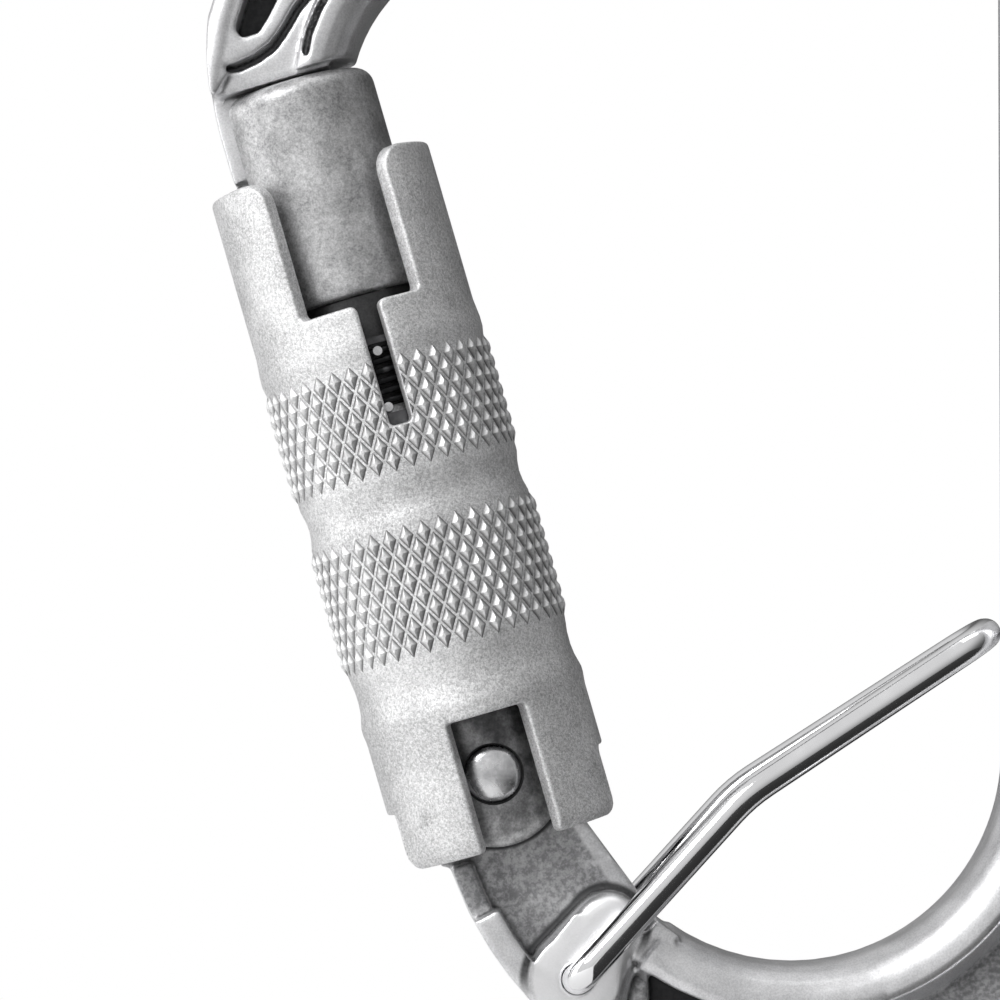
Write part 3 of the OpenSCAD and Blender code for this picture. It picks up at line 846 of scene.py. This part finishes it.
def makeSleeve():
    p = sleeve
    wall = p["plain"] - p["bore"]
    obj = filledOutline("sleeve", [(x * mm, 0, z * mm) for x, z in sleeveOutline()], wall * mm)
    ends = (math.radians(p["seam"]) * p["plain"], math.radians(p["seam"] - 360) * p["plain"])
    dropFaces(obj, lambda f: abs(f.normal.x) > 0.9 and any(abs(f.center.x / mm - e) < 0.01 for e in ends))
    bevelEdges(obj, p["edge"] * mm, 40, 3)
    pick(obj)
    bpy.ops.object.mode_set(mode="EDIT")
    for i in range(1, round(360 / p["turnStep"])):
        x = math.radians(p["seam"] - 360 + i * p["turnStep"]) * p["plain"] * mm
        bpy.ops.mesh.select_all(action="SELECT")
        bpy.ops.mesh.bisect(plane_co=(x, 0, 0), plane_no=(1, 0, 0))
    for z, _ in sleeveLevels[1:-1]:
        bpy.ops.mesh.select_all(action="SELECT")
        bpy.ops.mesh.bisect(plane_co=(0, 0, z * mm), plane_no=(0, 0, 1))
    bpy.ops.object.mode_set(mode="OBJECT")
    wrapSleeve(obj, wall)
    tidyMesh(obj, 2e-6)
    root = p["bore"] + 0.1  # the lip is rooted a little way into the wall
    lip = lathe("lip", [(root, p["lipLow"]), (p["lipR"], p["lipLow"]), (p["lipR"], p["lipHigh"]),
                        (root, p["lipHigh"]), (root, p["lipLow"])])
    half = p["lipSlot"] / 2
    cut(lip, block((-half, -10, p["lipLow"] - 1.1), (half, 10, p["lipHigh"] + 0.8)))
    bands = [dress(knurlBand(low, rows), "knurl") for low, rows in p["bands"]]
    dress(obj, "blasted")
    dress(lip, "blasted")
    smooth(obj, 32)
    for band in bands:
        smooth(band, 12)
    joinInto(obj, lip, *bands)
    settle(obj, onGate @ Matrix.Rotation(math.radians(p["play"]), 4, "Z"))
    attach(obj, "sleeve")
    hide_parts("locking_sleeve")


makeSleeve()
print("sleeve made")


barrel = {
    "r": 6.15, "top": 56.3, "rim": 1.35, "capLow": 38.5, "capRim": 0.9, "neck": 5.35, "neckLow": 29.6,
    "ring": 1.5, "ear": 5.65, "noseSlot": 2.6, "noseFloor": 49.3, "tangSlot": 2.3, "tangTop": 5.4,
    "bore": 3.5, "boreTop": 34.0, "recess": 2.4, "recessSeat": 4.9, "edge": 0.28,
}


def makeBarrel():
    p = barrel
    outline = [(0, -p["ear"] - 0.4), (p["r"], -p["ear"] - 0.4)]
    outline += [(p["r"], -5 + p["ring"] * i) for i in range(23)] + [(p["r"], p["neckLow"])]
    outline += [(p["neck"], p["neckLow"]), (p["neck"], 33.0), (p["neck"], 36.0), (p["neck"], p["capLow"])]
    outline += corner(p["r"] - p["capRim"] + 0.05, p["capLow"] + p["capRim"], p["capRim"] - 0.05, 270, 360, 6)
    outline += [(p["r"], 40.2 + p["ring"] * i) for i in range(10)]
    outline += corner(p["r"] - p["rim"], p["top"] - p["rim"], p["rim"], 0, 90, 7) + [(0, p["top"])]
    obj = lathe("barrel", outline, 128)
    ears = [(-9, 0.6), (-p["ear"] - 0.6, 0.6)] + corner(0, 0, p["ear"], 180, 360, 24)
    ears += [(p["ear"] + 0.6, 0.6), (9, 0.6), (9, -9), (-9, -9)]
    cut(obj, filledOutline("ears", [(x * mm, -9 * mm, z * mm) for x, z in ears], 18 * mm),
        block((-9, -p["noseSlot"], p["noseFloor"]), (2, p["noseSlot"], 60)),
        block((-9, -p["tangSlot"], -9), (9, p["tangSlot"], p["tangTop"])),
        drill(p["bore"], p["tangTop"] - 0.4, p["boreTop"]))
    bevelEdges(obj, p["edge"] * mm, 45, 2)
    cut(obj, drill(p["recess"], -9, -p["recessSeat"], "Y"), drill(p["recess"], p["recessSeat"], 9, "Y"))
    smooth(obj, 35)
    settle(obj, onGate)
    dress(obj, "barrel")
    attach(obj, "gate")
    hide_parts("gate_barrel")


makeBarrel()
print("barrel made")


rivet = {"shank": 1.9, "head": 2.24, "seat": 4.9, "wall": 0.35, "crown": 5.95}


def makeRivet():
    p = rivet
    half = [(0, 0), (p["shank"], 0), (p["shank"], p["seat"])]
    half += [(p["head"] - 0.1, p["seat"]), (p["head"], p["seat"] + 0.1)]
    domeLow = p["seat"] + p["wall"]
    for degrees in (0, 12, 24, 36, 48, 60, 72, 82):
        a = math.radians(degrees)
        half.append((p["head"] * math.cos(a), domeLow + (p["crown"] - domeLow) * math.sin(a)))
    half.append((0, p["crown"]))
    outline = [(r, -z) for r, z in reversed(half[1:])] + half[1:]
    obj = lathe("rivet", outline, 64)
    smooth(obj, 40)
    settle(obj, Matrix.Translation(hinge) @ Matrix.Rotation(math.pi / 2, 4, "X"))
    dress(obj, "rivet")
    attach(obj, "gate")
    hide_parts("hinge_rivet")


makeRivet()
print("rivet made")


coils = {
    "gateCoil": {
        "node": "gate_spring", "body": "gate", "slot": "inner_steel", "finish": "inner",
        "joint": "plunger_slide", "mean": 2.6, "wire": 0.8, "turns": 11, "low": 7.8, "high": 33.9,
        "tails": (),
    },
    "sleeveCoil": {
        "node": "sleeve_spring", "body": "sleeve_slider", "slot": "black_spring", "finish": "spring",
        "joint": "sleeve_pull", "mean": 6.65, "wire": 0.55, "turns": 6, "low": 29.1, "high": 34.4,
        "tails": ((0.55, 33.9), (0.15, 29.5)), "tailR": 0.36, "tailFrom": -7.05, "tailTo": -6.3,
    },
}


def makeSpring(name):
    # a round wire screwed up the gate's axis
    p = coils[name]
    clearSelection()
    bpy.ops.mesh.primitive_circle_add(vertices=16, radius=p["wire"] / 2 * mm, rotation=(math.pi / 2, 0, 0),
                                      location=(p["mean"] * mm, 0, (p["low"] + p["wire"] / 2) * mm))
    obj = bpy.context.object
    obj.name = name
    bpy.ops.object.transform_apply(location=True, rotation=True, scale=True)
    m = obj.modifiers.new("turns", "SCREW")
    m.axis = "Z"
    m.angle = math.tau * p["turns"]
    m.steps = m.render_steps = round(32 * p["turns"])
    m.screw_offset = (p["high"] - p["low"] - p["wire"]) * mm
    m.use_merge_vertices = False
    applyAll(obj)
    pick(obj)
    bpy.ops.object.mode_set(mode="EDIT")
    bpy.ops.mesh.select_all(action="SELECT")
    bpy.ops.mesh.fill_holes(sides=32)
    bpy.ops.object.mode_set(mode="OBJECT")
    dress(obj, p["finish"])
    for x, z in p["tails"]:
        # the wire's bright cut ends, turned outwards
        tail = drill(p["tailR"], p["tailFrom"], p["tailTo"], "Y", (x, 0, z))
        joinInto(obj, dress(settle(tail, Matrix.Identity(4)), "rivet"))
    tidyMesh(obj, 1e-7)
    smooth(obj, 40)
    settle(obj, onGate)
    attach(obj, p["body"])
    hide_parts(p["node"])
    travel = joints[p["joint"]]["range_m"][1] / mm
    1 - travel / (p["high"] - p["low"])
    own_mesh(obj)


for name in coils:
    makeSpring(name)
print("springs made")


keeper = {"r": 1.175, "legY": 6.525, "pinEnd": 0.5, "pinBend": 1.7, "knee": (13.0, 14.3), "kneeBend": 12.0,
          "endY": 3.3, "endBend": 3.0, "rise": 12.5, "sides": 40}


def bendBar(name, route, bends, r, sides):
    # a circle pushed along straights and spun round corners
    first = (route[1] - route[0]).normalized()
    clearSelection()
    bpy.ops.mesh.primitive_circle_add(vertices=sides, radius=r, fill_type="NGON", location=route[0],
                                      rotation=first.to_track_quat("Z", "Y").to_euler())
    obj = bpy.context.object
    obj.name = name
    bpy.ops.object.transform_apply(location=True, rotation=True, scale=True)
    bpy.ops.object.mode_set(mode="EDIT")
    bpy.ops.mesh.select_mode(type="FACE")
    bpy.ops.mesh.select_all(action="SELECT")
    here = route[0]
    for i in range(1, len(route)):
        u = (route[i] - route[i - 1]).normalized()
        if i < len(route) - 1:
            v = (route[i + 1] - route[i]).normalized()
            angle = u.angle(v)
            back = bends[i] * math.tan(angle / 2)
            stop = route[i] - u * back
        else:
            stop = route[i]
        count = max(1, round((stop - here).length / (3 * mm)))
        for _ in range(count):
            bpy.ops.mesh.extrude_region_move(TRANSFORM_OT_translate={"value": (stop - here) / count})
        here = stop
        if i < len(route) - 1:
            axis = u.cross(v).normalized()
            centre = here + axis.cross(u) * bends[i]
            bpy.ops.mesh.spin(steps=max(4, round(math.degrees(angle) / 6)), angle=-angle,
                              center=centre, axis=axis)
            turn = Matrix.Rotation(angle, 3, axis)
            here = centre + turn @ (here - centre)
    bpy.ops.object.mode_set(mode="OBJECT")
    tidyMesh(obj, 1e-7)
    return obj


def makeKeeper():
    p = keeper
    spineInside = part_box("keeper_wire")[1].x / mm - p["r"]
    px, pz = pivot.x / mm, pivot.z / mm
    kneeX, kneeZ = px + p["knee"][0], pz + p["knee"][1]
    front = [(px, -p["pinEnd"], pz), (px, -p["legY"], pz), (kneeX, -p["legY"], kneeZ),
             (spineInside, -p["endY"], kneeZ + p["rise"])]
    route = [Vector(q) * mm for q in front] + [Vector((q[0], -q[1], q[2])) * mm for q in reversed(front)]
    bends = [b * mm for b in (0, p["pinBend"], p["kneeBend"], p["endBend"])]
    bends += bends[::-1]
    obj = bendBar("keeper", route, bends, p["r"] * mm, p["sides"])
    smooth(obj, 40)
    settle(obj, Matrix.Identity(4))
    dress(obj, "wire")
    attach(obj, "keeper")
    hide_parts("keeper_wire")


makeKeeper()
print("keeper wire made")


for node, which in (("spring_seat", "dark"), ("gate_plunger", "inner"), ("guide_pins", "inner"),
                    ("slide_collar", "brass"), ("thrust_washer", "dark"), ("collar_ring", "dark")):
    dress(nodes[node], which)
print("inner pieces dressed")


studio = {
    "floorDrop": 0.06, "floorR": 0.55, "flagWidth": 0.50, "flagX": 0.27, "flagLift": 0.004,  # metres
    "distance": 0.350, "lens": 160,
    "cameraAt": (-0.6, 9.6), "target": (0.55, 21.4),  # x and z in mm from the hinge
    "brightSide": (-0.62, -0.42, 0.66), "dim": 0.10, "bright": 0.92,
    "lamps": (
        # name, place, watts, width, height
        ("key", (-0.45, -0.5, 0.40), 3.0, 0.35, 0.35),
        ("left", (-0.6, -0.05, 0.05), 1.0, 0.25, 0.6),
        ("top", (0.05, -0.1, 0.75), 0.9, 0.5, 0.5),
    ),
}


def makeLamp(name, place, power, width, height):
    data = bpy.data.lights.new(name, "AREA")
    data.energy = power
    data.shape = "RECTANGLE"
    data.size = width
    data.size_y = height
    obj = bpy.data.objects.new(name, data)
    bpy.context.scene.collection.objects.link(obj)
    obj.location = place
    obj.rotation_euler = (-Vector(place)).to_track_quat("-Z", "Y").to_euler()


def makeWorld():
    world = bpy.data.worlds.new("studio")
    bpy.context.scene.world = world
    world.use_nodes = True
    tree = world.node_tree
    tree.nodes.clear()

    def put(kind, **settings):
        n = tree.nodes.new(kind)
        for key, value in settings.items():
            setattr(n, key, value)
        return n

    where = put("ShaderNodeTexCoord")
    toward = put("ShaderNodeVectorMath", operation="DOT_PRODUCT")
    toward.inputs[1].default_value = studio["brightSide"]
    fall = put("ShaderNodeMapRange", interpolation_type="SMOOTHSTEP")
    for i, value in ((1, -0.55), (2, 0.75), (3, studio["dim"]), (4, studio["bright"])):
        fall.inputs[i].default_value = value
    soft = put("ShaderNodeBackground")
    white = put("ShaderNodeBackground")
    white.inputs["Color"].default_value = (1, 1, 1, 1)
    white.inputs["Strength"].default_value = 1.0
    path = put("ShaderNodeLightPath")
    mix = put("ShaderNodeMixShader")
    out = put("ShaderNodeOutputWorld")
    tree.links.new(where.outputs["Generated"], toward.inputs[0])
    tree.links.new(toward.outputs["Value"], fall.inputs[0])
    tree.links.new(fall.outputs[0], soft.inputs["Strength"])
    tree.links.new(path.outputs["Is Camera Ray"], mix.inputs[0])
    tree.links.new(soft.outputs[0], mix.inputs[1])
    tree.links.new(white.outputs[0], mix.inputs[2])
    tree.links.new(mix.outputs[0], out.inputs["Surface"])


def makeFlag():
    # black card on the floor at the right that only polished metal sees
    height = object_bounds()[0][2] - studio["floorDrop"] + studio["flagLift"]
    clearSelection()
    bpy.ops.mesh.primitive_plane_add(size=1, location=(studio["flagX"], 0, height))
    flag = bpy.context.object
    flag.name = "flag"
    flag.scale = (studio["flagWidth"], 1.0, 1)
    bpy.ops.object.transform_apply(location=False, rotation=False, scale=True)
    s = Shop("blackCard")
    tone = s.mix(s.noise(8, 2.0), (0.012, 0.012, 0.012), (0.02, 0.02, 0.02))
    flag.data.materials.append(s.finish(colour=tone, rough=0.9, metal=0.0))
    flag.visible_camera = False
    flag.visible_diffuse = False
    flag.visible_shadow = False
    flag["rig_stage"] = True


def makeFloor():
    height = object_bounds()[0][2] - studio["floorDrop"]
    clearSelection()
    bpy.ops.mesh.primitive_circle_add(vertices=64, radius=studio["floorR"], fill_type="NGON",
                                      location=(0, 0, height))
    floor = bpy.context.object
    floor.name = "floor"
    s = Shop("paleFloor")
    tone = s.mix(s.noise(12, 2.0), (0.86, 0.86, 0.86), (0.90, 0.90, 0.90))
    floor.data.materials.append(s.finish(colour=tone, rough=0.8, metal=0.0))
    floor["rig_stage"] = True


def makeCamera():
    data = bpy.data.cameras.new("camera")
    data.lens = studio["lens"]
    data.sensor_width = 36
    data.clip_start = 0.01
    obj = bpy.data.objects.new("camera", data)
    bpy.context.scene.collection.objects.link(obj)
    targetX, targetZ = studio["target"]
    atX, atZ = studio["cameraAt"]
    target = hinge + Vector((targetX, 0, targetZ)) * mm
    obj.location = hinge + Vector((atX, 0, atZ)) * mm + Vector((0, -studio["distance"], 0))
    obj.rotation_euler = (target - obj.location).to_track_quat("-Z", "Y").to_euler()
    bpy.context.scene.camera = obj


makeWorld()
makeFloor()
makeFlag()
makeCamera()
for lamp in studio["lamps"]:
    makeLamp(*lamp)
bpy.context.scene.view_settings.view_transform = "Standard"
print("stage set")
